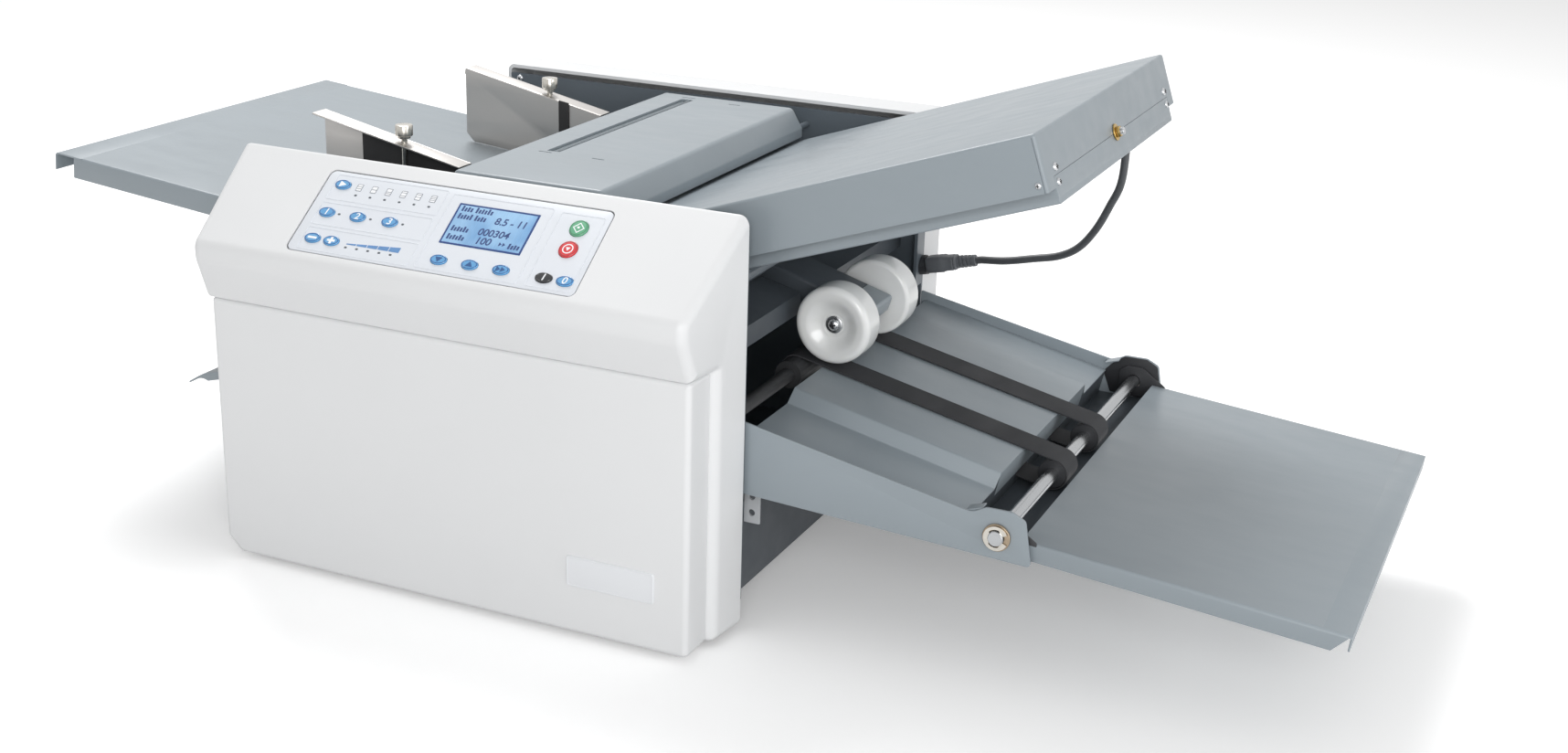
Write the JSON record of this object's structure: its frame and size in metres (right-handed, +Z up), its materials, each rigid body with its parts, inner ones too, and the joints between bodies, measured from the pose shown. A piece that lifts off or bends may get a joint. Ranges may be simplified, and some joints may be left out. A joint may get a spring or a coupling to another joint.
{
  "type": "paper folding machine",
  "caption": "Desktop paper folding machine: feed tray with side guides, hinged feeder lid, two fold plates, control panel, stacker wheels and a sloping belt conveyor with a lifting extension.",
  "frame": {"origin": "on the table, under the middle of the machine's bounding box", "axes": "+X the way the paper travels, from the feed tray to the conveyor; +Y away from the operator; +Z up"},
  "size_m": [1.1644, 0.552, 0.4328],
  "materials": {
    "belt_black": "fabric-backed rubber belt",
    "brass": "oiled bronze",
    "button_blue": "moulded blue key",
    "button_green": "moulded green key",
    "button_red": "moulded red key",
    "cover_white": "fine-textured off-white paint",
    "dark_paint": "satin dark grey paint",
    "grey_paint": "satin blue-grey powder coat",
    "nickel": "nickel plate",
    "nylon": "natural white nylon",
    "panel_white": "satin printed overlay",
    "plastic_black": "matt black plastic",
    "plastic_grey": "matt grey plastic",
    "rubber_black": "matt rubber",
    "screen_blue": "backlit liquid crystal display",
    "stainless": "brushed stainless steel",
    "zinc": "zinc-plated steel"
  },
  "bodies": {
    "machine": {"front_cover": "cover_white", "front_panel": "cover_white", "rear_cover": "cover_white", "side_frame_front": "dark_paint", "side_frame_rear": "dark_paint", "base_plate": "dark_paint", "rubber_foot_front": "rubber_black", "rubber_foot_rear": "rubber_black", "power_inlet": "plastic_black", "feed_tray": "grey_paint", "separator_pad": "plastic_grey", "drive_motor": "zinc", "fold_plate_top": "grey_paint", "fold_plate_bottom": "grey_paint", "stop_screw": "zinc", "lower_fold_plate": "grey_paint", "exit_guide": "dark_paint", "conveyor_side_front": "grey_paint", "conveyor_side_rear": "grey_paint", "conveyor_bed": "grey_paint", "conveyor_belt_front": "belt_black", "conveyor_belt_rear": "belt_black", "shaft_bushing_front": "brass", "shaft_bushing_rear": "brass", "control_panel": "panel_white", "lcd_display": "screen_blue", "cable_socket": "plastic_black", "cable_plug": "plastic_grey", "fold_plate_cable": "plastic_grey", "conveyor_bracket": "zinc"},
    "guide_front": {"guide_front": "stainless"},
    "guide_rear": {"guide_rear": "stainless"},
    "guide_knob_front": {"guide_knob_front": "nickel"},
    "guide_knob_rear": {"guide_knob_rear": "nickel"},
    "feeder_cover": {"feeder_cover": "grey_paint"},
    "feed_roller": {"feed_roller": "rubber_black"},
    "fold_roller_1": {"fold_roller_1": "rubber_black"},
    "fold_roller_2": {"fold_roller_2": "rubber_black"},
    "fold_roller_3": {"fold_roller_3": "rubber_black"},
    "fold_roller_4": {"fold_roller_4": "rubber_black"},
    "fold_stop": {"fold_stop": "zinc"},
    "stacker_arm": {"stacker_arm": "grey_paint"},
    "stacker_wheel_front": {"stacker_wheel_front": "nylon"},
    "stacker_wheel_rear": {"stacker_wheel_rear": "nylon"},
    "conveyor_drive_roller": {"conveyor_drive_roller": "rubber_black"},
    "conveyor_end_shaft": {"conveyor_end_shaft": "stainless"},
    "conveyor_extension": {"conveyor_extension": "grey_paint"},
    "button_select": {"button_select": "button_blue"},
    "button_preset_1": {"button_preset_1": "button_blue"},
    "button_preset_2": {"button_preset_2": "button_blue"},
    "button_preset_3": {"button_preset_3": "button_blue"},
    "button_minus": {"button_minus": "button_blue"},
    "button_plus": {"button_plus": "button_blue"},
    "button_down": {"button_down": "button_blue"},
    "button_up": {"button_up": "button_blue"},
    "button_next": {"button_next": "button_blue"},
    "button_single": {"button_single": "plastic_black"},
    "button_clear": {"button_clear": "button_blue"},
    "button_start": {"button_start": "button_green"},
    "button_stop": {"button_stop": "button_red"}
  },
  "joints": [
    {"name": "button_select_press", "type": "slide", "parent": "machine", "child": "button_select", "axis": [0, 0.5985, -0.8011], "range_m": [0, 0.0006], "stiffness_N_per_m": 500},
    {"name": "button_preset_1_press", "type": "slide", "parent": "machine", "child": "button_preset_1", "axis": [0, 0.5985, -0.8011], "range_m": [0, 0.0006], "stiffness_N_per_m": 500},
    {"name": "button_preset_2_press", "type": "slide", "parent": "machine", "child": "button_preset_2", "axis": [0, 0.5985, -0.8011], "range_m": [0, 0.0006], "stiffness_N_per_m": 500},
    {"name": "button_preset_3_press", "type": "slide", "parent": "machine", "child": "button_preset_3", "axis": [0, 0.5985, -0.8011], "range_m": [0, 0.0006], "stiffness_N_per_m": 500},
    {"name": "button_minus_press", "type": "slide", "parent": "machine", "child": "button_minus", "axis": [0, 0.5985, -0.8011], "range_m": [0, 0.0006], "stiffness_N_per_m": 500},
    {"name": "button_plus_press", "type": "slide", "parent": "machine", "child": "button_plus", "axis": [0, 0.5985, -0.8011], "range_m": [0, 0.0006], "stiffness_N_per_m": 500},
    {"name": "button_down_press", "type": "slide", "parent": "machine", "child": "button_down", "axis": [0, 0.5985, -0.8011], "range_m": [0, 0.0006], "stiffness_N_per_m": 500},
    {"name": "button_up_press", "type": "slide", "parent": "machine", "child": "button_up", "axis": [0, 0.5985, -0.8011], "range_m": [0, 0.0006], "stiffness_N_per_m": 500},
    {"name": "button_next_press", "type": "slide", "parent": "machine", "child": "button_next", "axis": [0, 0.5985, -0.8011], "range_m": [0, 0.0006], "stiffness_N_per_m": 500},
    {"name": "button_single_press", "type": "slide", "parent": "machine", "child": "button_single", "axis": [0, 0.5985, -0.8011], "range_m": [0, 0.0006], "stiffness_N_per_m": 500},
    {"name": "button_clear_press", "type": "slide", "parent": "machine", "child": "button_clear", "axis": [0, 0.5985, -0.8011], "range_m": [0, 0.0006], "stiffness_N_per_m": 500},
    {"name": "button_start_press", "type": "slide", "parent": "machine", "child": "button_start", "axis": [0, 0.5985, -0.8011], "range_m": [0, 0.0006], "stiffness_N_per_m": 500},
    {"name": "button_stop_press", "type": "slide", "parent": "machine", "child": "button_stop", "axis": [0, 0.5985, -0.8011], "range_m": [0, 0.0006], "stiffness_N_per_m": 500},
    {"name": "guide_front_slide", "type": "slide", "parent": "machine", "child": "guide_front", "axis": [0, 1, 0], "range_m": [-0.004, 0.063]},
    {"name": "guide_knob_front_turn", "type": "hinge", "parent": "guide_front", "child": "guide_knob_front", "pos_m": [-0.25975, -0.106, 0.345], "axis": [0, 0, 1], "range_deg": [-180, 180]},
    {"name": "guide_rear_slide", "type": "slide", "parent": "machine", "child": "guide_rear", "axis": [0, -1, 0], "range_m": [-0.004, 0.063]},
    {"name": "guide_knob_rear_turn", "type": "hinge", "parent": "guide_rear", "child": "guide_knob_rear", "pos_m": [-0.25975, 0.138, 0.345], "axis": [0, 0, 1], "range_deg": [-180, 180]},
    {"name": "feeder_cover_hinge", "type": "hinge", "parent": "machine", "child": "feeder_cover", "pos_m": [-0.02575, 0.016, 0.326], "axis": [0, 1, 0], "range_deg": [0, 70]},
    {"name": "feed_roller_spin", "type": "hinge", "parent": "machine", "child": "feed_roller", "pos_m": [-0.14375, 0.016, 0.29032], "axis": [0, 1, 0], "continuous": true},
    {"name": "fold_roller_1_spin", "type": "hinge", "parent": "machine", "child": "fold_roller_1", "pos_m": [-0.06931, 0.016, 0.27026], "axis": [0, 1, 0], "continuous": true},
    {"name": "fold_roller_2_spin", "type": "hinge", "parent": "machine", "child": "fold_roller_2", "pos_m": [-0.05819, 0.016, 0.23814], "axis": [0, 1, 0], "continuous": true},
    {"name": "fold_roller_3_spin", "type": "hinge", "parent": "machine", "child": "fold_roller_3", "pos_m": [-0.04939, 0.016, 0.20529], "axis": [0, 1, 0], "continuous": true},
    {"name": "fold_roller_4_spin", "type": "hinge", "parent": "machine", "child": "fold_roller_4", "pos_m": [-0.04939, 0.016, 0.17129], "axis": [0, 1, 0], "continuous": true},
    {"name": "fold_stop_slide", "type": "slide", "parent": "machine", "child": "fold_stop", "axis": [0.9449, 0, 0.3272], "range_m": [-0.16, 0.19]},
    {"name": "stacker_arm_lift", "type": "hinge", "parent": "machine", "child": "stacker_arm", "pos_m": [0.03725, 0.016, 0.2505], "axis": [0, -1, 0], "range_deg": [0, 22]},
    {"name": "stacker_wheel_front_spin", "type": "hinge", "parent": "stacker_arm", "child": "stacker_wheel_front", "pos_m": [0.11825, -0.0304, 0.2211], "axis": [0, 1, 0], "continuous": true},
    {"name": "stacker_wheel_rear_spin", "type": "hinge", "parent": "stacker_arm", "child": "stacker_wheel_rear", "pos_m": [0.11825, 0.0624, 0.2211], "axis": [0, 1, 0], "continuous": true},
    {"name": "conveyor_drive_roller_spin", "type": "hinge", "parent": "machine", "child": "conveyor_drive_roller", "pos_m": [0.08725, 0.016, 0.17799], "axis": [0, 1, 0], "continuous": true},
    {"name": "conveyor_end_shaft_spin", "type": "hinge", "parent": "machine", "child": "conveyor_end_shaft", "pos_m": [0.31725, 0.016, 0.127], "axis": [0, 1, 0], "continuous": true},
    {"name": "conveyor_extension_lift", "type": "hinge", "parent": "machine", "child": "conveyor_extension", "pos_m": [0.31725, 0.016, 0.127], "axis": [0, -1, 0], "range_deg": [0, 70]}
  ],
  "couplings": [
    {"joint": "fold_roller_3_spin", "follows": "fold_roller_4_spin", "ratio": -1},
    {"joint": "fold_roller_2_spin", "follows": "fold_roller_4_spin", "ratio": 1},
    {"joint": "fold_roller_1_spin", "follows": "fold_roller_4_spin", "ratio": -1},
    {"joint": "conveyor_end_shaft_spin", "follows": "conveyor_drive_roller_spin", "ratio": 1}
  ]
}
